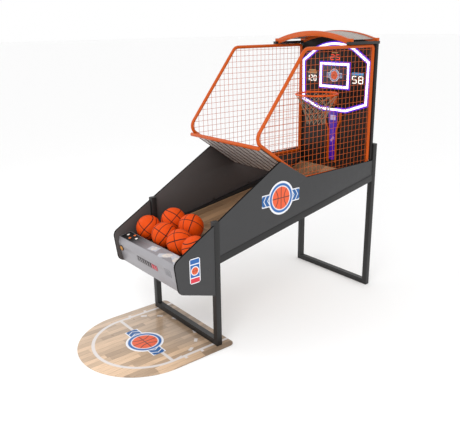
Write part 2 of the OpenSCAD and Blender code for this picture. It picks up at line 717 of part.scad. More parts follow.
module score_sensor() {
    color([0.12, 0.12, 0.13]) machine() {
        translate([-30, board_y - 26, rim_z - 155]) cube([60, 26, 30]);
        translate([0, board_y - 26, rim_z - 140]) rotate([90, 0, 0]) cylinder(d = 14, h = 5);
    }
}
module stanchion_tubes() {
    top = led_low_z - 12 - fit;
    path = rounded([[98, top], [98, top - 82], [53, top - 178], [53, back_step_z - 90]],
        [0, 60, 60, 0], 6);
    color([0.8, 0.36, 0.16]) machine() translate([0, back_y - 10 - fit, 0]) both_sides()
        rotate([90, 0, 0]) swept_tube(path, 10, 1.5);
}
module stanchion_panel() {
    top = led_low_z - 12 - fit;
    color([0.22, 0.06, 0.5]) machine() front_slab(back_y - 6 - fit, 6)
        polygon(rounded([[-86, top], [-86, top - 86], [-41, top - 182], [-41, back_step_z - 70],
            [41, back_step_z - 70], [41, top - 182], [86, top - 86], [86, top]],
            [0, 50, 60, 30, 30, 60, 50, 0]));
}

// ---- Roof
module arch(y, t) {
    front_slab(y, t) {
        arch_sector(arch_ro, arch_ro - arch_h);
        both_sides() translate([post_in - 4, roof_rail_z + roof_rail_h + fit])
            square([back_half_w - post_in + 8, arch_end_z - roof_rail_z - roof_rail_h - fit]);
    }
}
module roof_arches() {
    color([0.78, 0.33, 0.1]) machine() {
        arch(arch_front_y, arch_t);
        arch(back_y, rear_y - fit - back_y);
    }
}
module roof_rails() {
    color([0.07, 0.07, 0.07]) machine() both_sides()
        translate([post_in + 8, arch_front_y - 25, roof_rail_z])
            cube([back_half_w - post_in - 4, rear_y + 10 - arch_front_y + 25, roof_rail_h]);
}
module roof_panel() {
    y = arch_front_y + arch_t + fit;
    color([0.55, 0.54, 0.53]) machine() front_slab(y, back_y - fit - y)
        arch_sector(arch_ro - 8, arch_ro - 10);
}

// ---- Electronics on the rear of the back panel
module electronics_box() {
    z = [ebox_z + 70, ebox_z + ebox_h - 110];
    color([0.16, 0.16, 0.17]) machine() difference() {
        union() {
            difference() {
                translate([-ebox_w / 2, ebox_y, ebox_z]) cube([ebox_w, ebox_d, ebox_h]);
                translate([ebox_t - ebox_w / 2, ebox_y + ebox_t, ebox_z + ebox_t])
                    cube([ebox_w - 2 * ebox_t, ebox_d, ebox_h - 2 * ebox_t]);
            }
            for (h = z) {
                translate([hinge_x, hinge_y, h]) cylinder(r = hinge_r, h = 20);
                translate([hinge_x, hinge_y - hinge_r, h]) cube([hinge_r + 1, hinge_r, 20]);
                translate([hinge_x, hinge_y, h]) cylinder(d = pin_d, h = 42);
            }
        }
        translate([inlet_x - 14, ebox_y + 18, ebox_z - 1]) cube([28, 24, ebox_t + 2]);
    }
}
module service_door() {
    z = [ebox_z + 70, ebox_z + ebox_h - 110];
    w = ebox_w;
    color([0.17, 0.17, 0.18]) machine() {
        difference() {
            union() {
                translate([-w / 2, hinge_y + fit, ebox_z]) cube([w, ebox_t, ebox_h]);
                for (h = z) {
                    translate([hinge_x, hinge_y, h + 20 + fit]) cylinder(r = hinge_r, h = 20);
                    translate([hinge_x, hinge_y + fit, h + 20 + fit]) cube([hinge_r + 1, ebox_t, 20]);
                }
            }
            for (h = z) translate([hinge_x, hinge_y, h + 19]) cylinder(d = pin_d + 0.1, h = 24);
            for (i = [-4:4]) translate([i * 30 - 6, hinge_y - 1, ebox_z + 60]) cube([12, 10, 90]);
        }
        // Lock barrel and its cam
        translate([w / 2 - 30, hinge_y - 8, ebox_z + ebox_h / 2]) rotate([-90, 0, 0])
            cylinder(d = 20, h = 8 + fit + ebox_t + 3);
        translate([w / 2 - 36, hinge_y - 8, ebox_z + ebox_h / 2 - 6]) cube([28, 3, 12]);
    }
}
module control_board() {
    color([0.08, 0.35, 0.2]) machine() translate([-230, ebox_y + ebox_t, ebox_z + 330]) {
        translate([0, 8, 0]) cube([240, 2, 180]);
        for (x = [12, 228], z = [12, 168]) translate([x, 0, z]) rotate([-90, 0, 0])
            cylinder(d = 8, h = 8);
        translate([60, 10, 60]) cube([36, 4, 36]);
        translate([130, 10, 60]) cube([50, 10, 22]);
        translate([30, 10, 130]) cube([90, 14, 14]);
        translate([150, 10, 120]) cube([60, 8, 30]);
    }
}
module power_supply() {
    color([0.6, 0.6, 0.62]) machine() translate([70, ebox_y + ebox_t, ebox_z + 330])
        cube([190, 40, 110]);
}
module power_inlet() {
    color([0.06, 0.06, 0.06]) machine() translate([inlet_x, ebox_y + 30, ebox_z]) difference() {
        union() {
            translate([-20, -14, -5]) cube([40, 28, 5 - fit]);
            translate([-13.7, -11.7, -1]) cube([27.4, 23.4, 26]);
        }
        translate([-10, -7, -6]) cube([20, 14, 20]);
    }
}

// ---- Floor mat
module floor_mat() {
    color([0.76, 0.62, 0.47]) machine() linear_extrude(mat_t) {
        translate([0, -mat_round_y]) circle(r = mat_half_w, $fn = 180);
        polygon(rounded([[mat_half_w, -mat_round_y], [mat_half_w, mat_rear_y],
            [-mat_half_w, mat_rear_y], [-mat_half_w, -mat_round_y]], [0, 50, 50, 0]));
    }
}

floor_mat();
front_leg_frame();
rear_leg_frame();
side_rails();
cross_bars();
post_caps();
left_side_panel();
right_side_panel();
left_wing();
right_wing();
panel_fasteners();
control_box();
deck_overlay();
button_bezels();
name_plate();
speaker_grille();
speaker();
ball_trough();
ramp();
rear_deflector();
gate_bearings();
gate_motor();
gate_flap();
gate_shaft();
left_cage_frame();
right_cage_frame();
left_cage_mesh();
right_cage_mesh();
front_crossbar();
guard_mesh();
back_panel();
backboard();
led_strips();
emblem_plate();
score_displays();
rim_bracket();
rim();
net();
score_sensor();
stanchion_tubes();
stanchion_panel();
roof_arches();
roof_rails();
roof_panel();
electronics_box();
control_board();
power_supply();
power_inlet();
service_door();
ball_1();
ball_2();
ball_3();
ball_4();
ball_5();
ball_6();
deck_button_1();
deck_button_2();
deck_button_3();
deck_button_4();
start_button();
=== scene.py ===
# Arcade basketball machine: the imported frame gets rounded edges, real finishes, and the
# parts that need mesh work: balls, net, wire mesh, bent tubes, light strips and badges.
# X runs across the machine, Y from the player to the backboard, Z up, in metres.
import json
import math

import bpy
from mathutils import Matrix, Vector


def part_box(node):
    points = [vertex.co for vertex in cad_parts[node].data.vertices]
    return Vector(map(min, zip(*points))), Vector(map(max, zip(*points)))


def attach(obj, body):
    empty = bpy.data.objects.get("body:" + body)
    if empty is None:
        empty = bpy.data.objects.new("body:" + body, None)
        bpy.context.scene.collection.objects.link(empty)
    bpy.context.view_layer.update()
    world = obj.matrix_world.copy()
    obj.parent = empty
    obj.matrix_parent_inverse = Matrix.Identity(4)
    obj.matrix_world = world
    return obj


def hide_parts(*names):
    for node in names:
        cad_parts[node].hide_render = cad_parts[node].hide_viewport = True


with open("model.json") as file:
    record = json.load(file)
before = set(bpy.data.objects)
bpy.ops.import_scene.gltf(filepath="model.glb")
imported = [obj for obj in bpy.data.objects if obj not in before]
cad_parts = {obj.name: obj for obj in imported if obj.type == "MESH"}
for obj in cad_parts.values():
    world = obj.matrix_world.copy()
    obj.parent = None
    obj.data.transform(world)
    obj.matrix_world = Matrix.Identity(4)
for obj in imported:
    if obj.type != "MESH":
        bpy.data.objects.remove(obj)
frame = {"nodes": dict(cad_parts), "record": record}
bpy.ops.object.select_all(action="DESELECT")
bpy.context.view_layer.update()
nodes = frame["nodes"]
bodies = frame["record"]["behaviour"]["bodies"]
bodyOf = {node: body for body, group in bodies.items() for node in group}
slotOf = {part["node"]: part["material_slot"] for part in frame["record"]["subparts"]}

# ---- Camera and light

view = {
    "place": (3.917, -3.0575, 2.531),
    "turn": 51.68,  # degrees from looking along +Y
    "down": 17.93,
    "roll": -0.95,
    "lens": 45.45,
}


def makeCamera():
    bpy.ops.object.camera_add()
    camera = bpy.context.object
    camera.matrix_world = (
        Matrix.Translation(view["place"])
        @ Matrix.Rotation(math.radians(view["turn"]), 4, "Z")
        @ Matrix.Rotation(math.radians(90 - view["down"]), 4, "X")
        @ Matrix.Rotation(math.radians(view["roll"]), 4, "Z")
    )
    camera.data.lens = view["lens"]
    camera.data.sensor_width = 36
    bpy.context.scene.camera = camera


lamps = {
    "keyLight": {"place": (3.5, -3.5, 4.5), "aim": (0, 0, 1), "size": 3.0, "power": 130},
    "fillLight": {"place": (-4, -2.5, 3.5), "aim": (0, 0, 1.2), "size": 3.0, "power": 40},
}


def makeLight(name, place, aim, size, power):
    bpy.ops.object.light_add(type="AREA", location=place)
    light = bpy.context.object
    light.name = name
    light.data.size = size
    light.data.energy = power
    light.rotation_euler = (Vector(aim) - Vector(place)).to_track_quat("-Z", "Y").to_euler()


def makeStudio():
    scene = bpy.context.scene
    scene.view_settings.view_transform = "Standard"
    world = bpy.data.worlds.new("studio")
    scene.world = world
    world.use_nodes = True
    background = world.node_tree.nodes["Background"]
    background.inputs["Color"].default_value = (1, 1, 1, 1)
    background.inputs["Strength"].default_value = 1.0
    for name, lamp in lamps.items():
        makeLight(name, **lamp)
    bpy.ops.mesh.primitive_plane_add(size=300, location=(0, 0, -0.002))
    floor = bpy.context.object
    floor.name = "floor"
    floor.data.materials.append(surface("floorPale", (0.97, 0.97, 0.97, 1), 0.9).material)


# ---- Materials


def srgb(red, green, blue):
    def linear(level):
        share = level / 255
        return share / 12.92 if level <= 10 else ((share + 0.055) / 1.055) ** 2.4

    return (linear(red), linear(green), linear(blue), 1)


class Value:
    # A number that varies over a surface; sums with it add Math nodes
    def __init__(self, tree, socket):
        self.tree = tree
        self.socket = socket

    def math(self, operation, *others):
        node = self.tree.nodes.new("ShaderNodeMath")
        node.operation = operation
        for place, item in enumerate((self,) + others):
            if isinstance(item, Value):
                self.tree.links.new(item.socket, node.inputs[place])
            else:
                node.inputs[place].default_value = item
        return Value(self.tree, node.outputs[0])

    def __add__(self, other):
        return self.math("ADD", other)

    def __sub__(self, other):
        return self.math("SUBTRACT", other)

    def __mul__(self, other):
        return self.math("MULTIPLY", other)

    def __truediv__(self, other):
        return self.math("DIVIDE", other)

    def size(self):
        return self.math("ABSOLUTE")

    def smaller(self, other):
        return self.math("MINIMUM", other)

    def larger(self, other):
        return self.math("MAXIMUM", other)

    def length(self, other):
        return (self * self + other * other).math("SQRT")

    def floor(self):
        return self.math("FLOOR")

    def repeat(self, step):
        # distance from the middle of each repeated cell
        return ((self / step).math("FRACT") - 0.5).size() * step

    def fit(self, low, high, outLow=0.0, outHigh=1.0):
        node = self.tree.nodes.new("ShaderNodeMapRange")
        self.tree.links.new(self.socket, node.inputs[0])
        for place, item in enumerate((low, high, outLow, outHigh)):
            node.inputs[place + 1].default_value = item
        return Value(self.tree, node.outputs[0])

    def below(self, limit, soft=0.0006):
        return self.fit(limit - soft, limit + soft, 1, 0)

    def above(self, limit, soft=0.0006):
        return self.fit(limit - soft, limit + soft)

    def random(self, other=None):
        node = self.tree.nodes.new("ShaderNodeTexWhiteNoise")
        node.noise_dimensions = "1D" if other is None else "2D"
        if other is None:
            self.tree.links.new(self.socket, node.inputs["W"])
        else:
            join = self.tree.nodes.new("ShaderNodeCombineXYZ")
            self.tree.links.new(self.socket, join.inputs[0])
            self.tree.links.new(other.socket, join.inputs[1])
            self.tree.links.new(join.outputs[0], node.inputs["Vector"])
        return Value(self.tree, node.outputs["Value"])


class Surface:
    # One material: a base colour that is painted over, roughness and relief
    def __init__(self, name, color, roughness, metallic):
        self.material = bpy.data.materials.new(name)
        self.material.use_nodes = True
        self.tree = self.material.node_tree
        self.shader = self.tree.nodes["Principled BSDF"]
        self.color = color
        self.shader.inputs["Base Color"].default_value = color
        self.shader.inputs["Roughness"].default_value = roughness
        self.shader.inputs["Metallic"].default_value = metallic
        self.coords = self.tree.nodes.new("ShaderNodeTexCoord").outputs["Object"]

    def follow(self, attribute):
        node = self.tree.nodes.new("ShaderNodeAttribute")
        node.attribute_name = attribute
        self.coords = node.outputs["Vector"]

    def axes(self, letters, middle=(0, 0, 0), tilt=(0, 0, 0)):
        # the lettered axes measured from a point, in a frame that is turned by tilt degrees
        node = self.tree.nodes.new("ShaderNodeMapping")
        node.vector_type = "TEXTURE"
        self.tree.links.new(self.coords, node.inputs["Vector"])
        node.inputs["Location"].default_value = middle
        node.inputs["Rotation"].default_value = [math.radians(angle) for angle in tilt]
        split = self.tree.nodes.new("ShaderNodeSeparateXYZ")
        self.tree.links.new(node.outputs[0], split.inputs[0])
        return [Value(self.tree, split.outputs["xyz".index(letter)]) for letter in letters]

    def noise(self, scale, detail=3.0, stretch=(1, 1, 1)):
        mapping = self.tree.nodes.new("ShaderNodeMapping")
        mapping.inputs["Scale"].default_value = stretch
        self.tree.links.new(self.coords, mapping.inputs["Vector"])
        node = self.tree.nodes.new("ShaderNodeTexNoise")
        node.inputs["Scale"].default_value = scale
        node.inputs["Detail"].default_value = detail
        self.tree.links.new(mapping.outputs[0], node.inputs["Vector"])
        return Value(self.tree, node.outputs[0])

    def cells(self, scale):
        node = self.tree.nodes.new("ShaderNodeTexVoronoi")
        node.inputs["Scale"].default_value = scale
        self.tree.links.new(self.coords, node.inputs["Vector"])
        return Value(self.tree, node.outputs["Distance"])

    def paint(self, mask, color, blend="MIX"):
        node = self.tree.nodes.new("ShaderNodeMix")
        node.data_type = "RGBA"
        node.blend_type = blend
        for place, item in ((0, mask), (6, self.color), (7, color)):
            if isinstance(item, Value):
                self.tree.links.new(item.socket, node.inputs[place])
            elif isinstance(item, bpy.types.NodeSocket):
                self.tree.links.new(item, node.inputs[place])
            else:
                node.inputs[place].default_value = item
        self.color = node.outputs[2]
        self.tree.links.new(self.color, self.shader.inputs["Base Color"])
        return self

    def shade(self, value, dark, pale):
        # darkens or lightens the colour as value goes from 0 to 1
        node = self.tree.nodes.new("ShaderNodeCombineColor")
        tone = value.fit(0, 1, dark, pale)
        for place in range(3):
            self.tree.links.new(tone.socket, node.inputs[place])
        return self.paint(1.0, node.outputs[0], "MULTIPLY")

    def rough(self, value, low, high):
        self.tree.links.new(value.fit(0, 1, low, high).socket, self.shader.inputs["Roughness"])
        return self

    def relief(self, value, distance, strength=1.0):
        node = self.tree.nodes.new("ShaderNodeBump")
        node.inputs["Distance"].default_value = distance
        node.inputs["Strength"].default_value = strength
        self.tree.links.new(value.socket, node.inputs["Height"])
        self.tree.links.new(node.outputs[0], self.shader.inputs["Normal"])
        return self

    def glow(self, strength, color=None):
        # shines in the given colour, or in the surface's own
        self.shader.inputs["Emission Strength"].default_value = strength
        color = color or self.color
        if isinstance(color, bpy.types.NodeSocket):
            self.tree.links.new(color, self.shader.inputs["Emission Color"])
        else:
            self.shader.inputs["Emission Color"].default_value = color
        return self


def surface(name, color, roughness, metallic=0.0):
    return Surface(name, color, roughness, metallic)


def powderCoat(name, color, roughness=0.4):
    made = surface(name, color, roughness)
    made.shade(made.noise(9), 0.85, 1.12)
    made.rough(made.noise(30), roughness - 0.08, roughness + 0.1)
    return made.relief(made.noise(900, 2), 0.0003, 0.35).material


def glossPaint(name, color, roughness=0.25, shine=0.35):
    made = surface(name, color, roughness)
    made.shade(made.noise(6), 0.92, 1.06)
    made.rough(made.noise(25), roughness - 0.06, roughness + 0.1)
    made.shader.inputs["Specular IOR Level"].default_value = shine
    made.shader.inputs["Coat Weight"].default_value = shine / 3
    made.shader.inputs["Coat Roughness"].default_value = 0.2
    return made.relief(made.noise(160, 2), 0.0004, 0.25).material


def plastic(name, color, roughness=0.35, shine=0.5):
    made = surface(name, color, roughness)
    made.shader.inputs["Specular IOR Level"].default_value = shine
    made.shade(made.noise(14), 0.93, 1.05)
    made.rough(made.noise(60), roughness - 0.05, roughness + 0.08)
    return made.relief(made.noise(1300, 2), 0.0002, 0.2).material


def metal(name, color, roughness=0.3, stretch=(1, 1, 1)):
    made = surface(name, color, roughness, 1.0)
    made.shade(made.noise(40, 3, stretch), 0.85, 1.1)
    made.rough(made.noise(120, 3, stretch), roughness - 0.08, roughness + 0.12)
    return made.relief(made.noise(400, 2, stretch), 0.0002, 0.2).material


def laminate(name, color):
    made = surface(name, color, 0.5)
    made.shader.inputs["Specular IOR Level"].default_value = 0.35
    made.shade(made.noise(3), 0.93, 1.06)
    made.rough(made.noise(18), 0.42, 0.58)
    return made.relief(made.noise(700, 3), 0.0004, 0.4).material


def planks(made, x, y, width, length, dark, pale):
    # each plank takes its own shade, with a thin dark joint between rows
    row = (x / width).floor()
    along = (y / length + row.random() * 7.0).floor()
    made.shade(row.random(along), dark, pale)
    joint = x.repeat(width).above(width / 2 - 0.0012, 0.0006)
    made.paint(joint * 0.5, srgb(70, 50, 36))


def board(name, color):
    # varnished strips with their grain along the machine
    made = surface(name, color, 0.35)
    x, y = made.axes("xy")
    planks(made, x, y, 0.083, 1.5, 0.62, 1.3)
    grain = made.noise(30, 5, (5, 0.35, 5))
    made.shade(grain, 0.62, 1.35)
    made.rough(grain, 0.25, 0.5)
    return made.relief(grain, 0.0006, 0.3).material


def makeMaterials():
    return {
        "black_steel": powderCoat("blackSteel", srgb(21, 20, 20), 0.45),
        "black_plastic": plastic("blackPlastic", srgb(34, 33, 33), 0.5),
        "grey_laminate": laminate("greyLaminate", srgb(57, 57, 58)),
        "panel_inner": laminate("panelInner", srgb(74, 69, 68)),
        "edge_black": plastic("edgeBlack", srgb(7, 7, 7), 0.7, 0.1),
        "fastener_steel": metal("fastenerSteel", srgb(90, 88, 86), 0.4),
        "silver_metal": glossPaint("silverPaint", srgb(148, 146, 150), 0.42),
        "bezel_black": plastic("bezelBlack", srgb(48, 34, 28), 0.25),
        "grille_metal": powderCoat("grillePaint", srgb(138, 137, 141), 0.45),
        "speaker_black": plastic("speakerBlack", srgb(30, 30, 30), 0.7),
        "trough_wood": board("troughWood", srgb(104, 80, 58)),
        "ramp_wood": board("rampWood", srgb(150, 118, 88)),
        "gate_steel": metal("gateSteel", srgb(190, 190, 194), 0.25),
        "motor_grey": powderCoat("motorGrey", srgb(66, 68, 72)),
        "orange_tube": glossPaint("orangeTube", srgb(186, 77, 5), 0.3, 0.2),
        "rim_orange": glossPaint("rimOrange", srgb(230, 88, 10), 0.3, 0.2),
        "orange_wire": glossPaint("orangeWire", srgb(188, 84, 24), 0.4, 0.2),
        "guard_wire": glossPaint("guardWire", srgb(66, 48, 40), 0.4),
        "guard_pale": plastic("guardPale", srgb(196, 190, 187), 0.45),
        "back_black": laminate("backBlack", srgb(20, 16, 15)),
        "board_gloss": glossPaint("boardGloss", srgb(14, 6, 11), 0.3, 0.12),
        "net_cord": cordMaterial(),
        "ebox_steel": powderCoat("boxSteel", srgb(46, 46, 49)),
        "circuit_board": plastic("circuitBoard", srgb(26, 92, 58), 0.4),
        "psu_case": metal("supplyCase", srgb(170, 170, 174), 0.35),
        "button_white": plastic("buttonWhite", srgb(236, 232, 226), 0.15),
        "button_orange": plastic("buttonOrange", srgb(222, 112, 48), 0.15),
        "start_brass": metal("startBrass", srgb(200, 146, 84), 0.3),
        "roof_sheet": perforatedSheet(),
        "led_white": lightStrip(),
        "led_edge": lightEdge(),
        "stanchion_purple": stanchionPrint(),
        "deck_print": deckPrint(),
        "name_plate": namePlatePrint(),
        "mat_vinyl": courtMaterial(),
        "ball_rubber": ballMaterial(),
        "emblem_print": plastic("emblemField", srgb(26, 10, 44), 0.3),
        "display_glass": plastic("displayGlass", srgb(20, 14, 18), 0.12),
    }


def cordMaterial():
    made = surface("netCord", srgb(150, 132, 112), 0.85)
    made.shade(made.noise(220, 3), 0.6, 1.25)
    return made.relief(made.cells(600), 0.0006, 0.6).material


perforation = {"pitch": 0.014, "edge": 0.0055}


def perforatedSheet():
    pitch, edge = perforation["pitch"], perforation["edge"]
    made = surface("roofSheet", srgb(178, 168, 160), 0.45, 0.2)
    x, y = made.axes("xy")
    away = x.repeat(pitch).length(y.repeat(pitch))
    made.shade(made.noise(12), 0.9, 1.08)
    made.paint(away.above(edge, 0.0008) * 0.6, srgb(70, 64, 60))
    return made.relief(away.below(edge, 0.001), 0.0008).material


def lightEdge():
    made = surface("lightEdge", srgb(70, 20, 160), 0.4)
    return made.glow(1.1, srgb(66, 10, 170)).material


strip = {"lamp": 0.048, "joint": 0.0232}  # one lamp's length, and where its joint starts


def lightStrip():
    made = surface("lightWhite", srgb(250, 244, 255), 0.3)
    x, z = made.axes("xz")
    across, up = [axis.repeat(strip["lamp"]).above(strip["joint"]) for axis in (x, z)]
    made.paint(across.larger(up) * 0.6, srgb(190, 150, 245))
    return made.glow(1.25).material


# the purple field widens from its foot to its head, measured from the plate's height
stanchion = {
    "plate": 1.665,
    "foot": -0.25,
    "head": 0.03,
    "footHalf": 0.034,
    "headHalf": 0.061,
    "plateHalf": 0.024,
    "slash": 1.45,
}


def stanchionPrint():
    made = surface("stanchionPurple", srgb(62, 12, 150), 0.3)
    x, z = made.axes("xz", (0, 0, stanchion["plate"]))
    made.shade(made.noise(9), 0.75, 1.2)
    footHalf = stanchion["footHalf"]
    half = z.fit(stanchion["foot"], stanchion["head"], footHalf, stanchion["headHalf"])
    made.paint((x.size() - half).above(0.0), srgb(12, 9, 14))
    pale = x.size().below(footHalf).smaller(z.size().below(stanchion["plateHalf"]))
    made.paint(pale, srgb(170, 160, 200))
    u, w = made.axes("xz", (0, 0, stanchion["slash"]), (0, 40, 0))
    slash = u.size().below(0.012).smaller(w.size().below(0.03))
    made.paint(slash * 0.6, srgb(196, 140, 190))
    return made.glow(0.35).material


# ---- Deck, name plate and court prints

deck = {
    "fadeFrom": -0.3,
    "fadeTo": -0.02,
    "shapes": [(0.02, 0.055, 8.0), (0.22, 0.085, 32.0), (0.35, 0.075, -25.0)],  # place, half, turn
    "shapeHigh": 0.03,
}


def deckPrint():
    low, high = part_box("deck_overlay")
    middle = (low + high) / 2
    made = surface("deckPrint", srgb(132, 130, 134), 0.45)
    made.shader.inputs["Specular IOR Level"].default_value = 0.3
    x = made.axes("x", middle)[0]
    made.paint(x.fit(deck["fadeFrom"], deck["fadeTo"], 1, 0), srgb(22, 22, 23))
    for place, half, tilt in deck["shapes"]:
        u, v = made.axes("xy", middle + Vector((place, 0, 0)), (0, 0, tilt))
        shape = u.size().below(half, 0.001).smaller(v.size().below(deck["shapeHigh"], 0.001))
        made.paint(shape * 0.8, srgb(186, 190, 198))
        inner = (u.size() + v.size()).below(half * 0.6, 0.001)
        made.paint(inner * shape * 0.7, srgb(214, 204, 190))
        cross = (u.size() - v.size()).size().below(0.002, 0.001)
        made.paint(cross * shape * 0.5, srgb(120, 140, 170))
    made.rough(made.noise(40), 0.4, 0.55)
    return made.material


plate = {"redFrom": 0.07, "border": 0.006, "step": 0.04, "bar": 0.0135, "slant": 0.35, "high": 0.66}


def namePlatePrint():
    low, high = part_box("name_plate")
    middle = (low + high) / 2
    half = (high - low) / 2
    made = surface("namePlate", srgb(30, 26, 28), 0.4)
    made.shader.inputs["Specular IOR Level"].default_value = 0.15
    x, z = made.axes("xz", middle)
    red = x.above(plate["redFrom"], 0.002)
    made.paint(red, srgb(150, 26, 44))
    border = plate["border"]
    inside = x.size().below(half.x - border).smaller(z.size().below(half.z - border))
    made.paint(inside, srgb(158, 152, 155))
    bars = (x + z * plate["slant"]).repeat(plate["step"]).below(plate["bar"])
    bars = bars.smaller(z.size().below(half.z * plate["high"]))
    bars = bars.smaller(x.size().below(half.x - 0.014))
    made.paint(bars, srgb(8, 6, 7))
    made.paint(bars.smaller(red), srgb(196, 14, 44))
    made.shade(made.noise(20), 0.94, 1.04)
    return made.material


court = {
    "plankWidth": 0.054,
    "plankLength": 0.42,
    "lineHalf": 0.014,
    "radius": 0.435,
    "across": -0.9095,  # where the cross line lies along the machine
    "hashes": (0.11, 0.27),
}


def courtMaterial():
    made = surface("courtVinyl", srgb(206, 176, 146), 0.3)
    x, y = made.axes("xy")
    planks(made, x, y, court["plankWidth"], court["plankLength"], 0.55, 1.2)
    grain = made.noise(26, 5, (4, 0.35, 1))
    made.shade(grain, 0.72, 1.25)
    # painted shade: the mat darkens from its front edge towards the machine at the rear
    made.shade(y.fit(-0.95, -0.4), 1.0, 0.62)
    u, v = made.axes("xy", (0, court["across"], 0))
    radius, half = court["radius"], court["lineHalf"]
    arc = (u.length(v) - radius).size().below(half)
    angle = u.size().math("ARCTAN2", v.larger(0.0))
    dash = (angle * 2.9 + 0.1).math("FRACT").below(0.36, 0.02)
    line = arc.smaller(v.below(0.0).larger(dash))
    sides = (u.size() - radius).size().below(half).smaller(v.above(0.0))
    cross = v.size().below(half).smaller(u.size().below(radius))
    near, far = [(v - place).size().below(0.013) for place in court["hashes"]]
    hashes = (u.size() - radius - 0.022).size().below(0.016).smaller(near.larger(far))
    made.paint(line.larger(sides).larger(cross).larger(hashes) * 0.92, srgb(214, 208, 206))
    made.rough(made.noise(14), 0.22, 0.4)
    made.shader.inputs["Coat Weight"].default_value = 0.35
    made.shader.inputs["Coat Roughness"].default_value = 0.12
    return made.relief(grain, 0.0004, 0.15).material


# ---- Helpers for pieces


def finishPiece(piece, name, material, body="machine", replaces=()):
    piece.name = name
    piece.data.name = name
    if material:
        piece.data.materials.clear()
        piece.data.materials.append(materials[material])
    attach(piece, body)
    if replaces:
        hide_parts(*replaces)
    piece.select_set(False)
    return piece


def pick(piece):
    bpy.ops.object.select_all(action="DESELECT")
    piece.select_set(True)
    bpy.context.view_layer.objects.active = piece


def applyPlace(piece):
    pick(piece)
    bpy.ops.object.transform_apply(location=True, rotation=True, scale=True)


def applyModifier(piece, kind, **settings):
    bpy.context.view_layer.objects.active = piece
    modifier = piece.modifiers.new(kind.lower(), kind)
    for key, value in settings.items():
        setattr(modifier, key, value)
    bpy.ops.object.modifier_apply(modifier=modifier.name)


def smooth(piece, angle):
    pick(piece)
    bpy.ops.object.shade_smooth_by_angle(angle=math.radians(angle))


def joinAll(pieces):
    pick(pieces[0])
    for piece in pieces:
        piece.select_set(True)
    if len(pieces) > 1:
        bpy.ops.object.join()
    return bpy.context.object


def tubeAlong(path, radius, closed=False, sides=2):
    # a round tube along one row of points or several, as a mesh
    data = bpy.data.curves.new("path", "CURVE")
    data.dimensions = "3D"
    data.bevel_depth = radius
    data.bevel_resolution = sides
    data.use_fill_caps = not closed
    lines = path if isinstance(path[0][0], (tuple, list, Vector)) else [path]
    for points in lines:
        spline = data.splines.new("POLY")
        spline.points.add(len(points) - 1)
        for point, place in zip(spline.points, points):
            point.co = (*place, 1)
        spline.use_cyclic_u = closed
    piece = bpy.data.objects.new("tube", data)
    bpy.context.scene.collection.objects.link(piece)
    pick(piece)
    bpy.ops.object.convert(target="MESH")
    return bpy.context.object


def roundedBox(low, high, radius):
    low, high = Vector(low), Vector(high)
    bpy.ops.mesh.primitive_cube_add(size=1, location=(low + high) / 2)
    piece = bpy.context.object
    piece.scale = high - low
    applyPlace(piece)
    applyModifier(piece, "BEVEL", width=radius, segments=2)
    return piece


# ---- Parts that keep the frame's shape

# millimetres of rounding for each one's edges
edges = {
    "front_leg_frame": 2.5, "rear_leg_frame": 2.5, "side_rails": 2.5, "cross_bars": 1.5,
    "post_caps": 1.5, "left_side_panel": 1.2, "right_side_panel": 1.2, "left_wing": 1.2,
    "right_wing": 1.2, "panel_fasteners": 0.5, "control_box": 0.9, "deck_overlay": 0.3,
    "button_bezels": 0.3, "name_plate": 0.6, "speaker_grille": 0.5, "speaker": 0.8,
    "ball_trough": 1.0, "ramp": 1.0, "rear_deflector": 0.5, "gate_bearings": 1.0,
    "gate_motor": 1.5, "gate_flap": 1.0, "gate_shaft": 0.4, "back_panel": 1.0,
    "backboard": 1.2, "led_strips": 2.0, "emblem_plate": 0.6, "score_displays": 0.8,
    "rim_bracket": 1.0, "score_sensor": 1.5, "stanchion_panel": 0.8, "roof_arches": 1.5,
    "roof_rails": 1.5, "roof_panel": 0.3, "electronics_box": 0.6, "control_board": 0.3,
    "power_supply": 1.0, "power_inlet": 0.6, "service_door": 0.6, "deck_button_1": 0.4,
    "deck_button_2": 0.4, "deck_button_3": 0.4, "deck_button_4": 0.4, "start_button": 0.5,
    "floor_mat": 1.5,
}


def pieceName(node):
    first, *rest = node.split("_")
    return first + "".join(word.capitalize() for word in rest)


def roundEdges(node, width):
    piece = nodes[node].copy()
    piece.data = nodes[node].data.copy()
    bpy.context.scene.collection.objects.link(piece)
    piece.parent = None
    for key in list(piece.keys()):
        del piece[key]
    pick(piece)
    bpy.ops.object.mode_set(mode="EDIT")
    bpy.ops.mesh.select_all(action="SELECT")
    bpy.ops.mesh.remove_doubles(threshold=0.00002)
    bpy.ops.mesh.dissolve_limited(angle_limit=math.radians(0.5))
    bpy.ops.object.mode_set(mode="OBJECT")
    applyModifier(
        piece, "BEVEL", width=width / 1000, segments=2, limit_method="ANGLE",
        angle_limit=math.radians(40),
    )
    smooth(piece, 32)
    return finishPiece(piece, pieceName(node), slotOf[node], bodyOf[node], replaces=(node,))


def coverEdges(piece, outside):
    # the narrow edges of a board carry black edging, and its inner face is a browner grey
    piece.data.materials.append(materials["edge_black"])
    piece.data.materials.append(materials["panel_inner"])
    for face in piece.data.polygons:
        if abs(face.normal.x) < 0.9:
            face.material_index = 1
        elif face.normal.x * outside < 0:
            face.material_index = 2


def makeFrameParts():
    for node, width in edges.items():
        piece = roundEdges(node, width)
        if node.endswith(("side_panel", "wing")):
            coverEdges(piece, 1 if node.startswith("right") else -1)
    print("frame parts rounded:", len(edges))


def makeStanchion():
    piece = roundEdges("stanchion_tubes", 0.4)
    smooth(piece, 50)


# ---- Cage

cage = {
    "tube": 0.015,
    "wire": 0.0016,
    "wires": 40,
    "cell": 0.0508,
    "bends": (0.03, 0.03, 0.075, 0.075, 0.06),
    "rearHigh": 2.36,  # heights of the corners
    "noseHigh": 1.668,
    "lowHigh": 1.275,
    "frontAlong": 0.4925,  # places of the front corners along the machine
    "noseAlong": -0.0575,
    "valleyAlong": 0.4995,
}


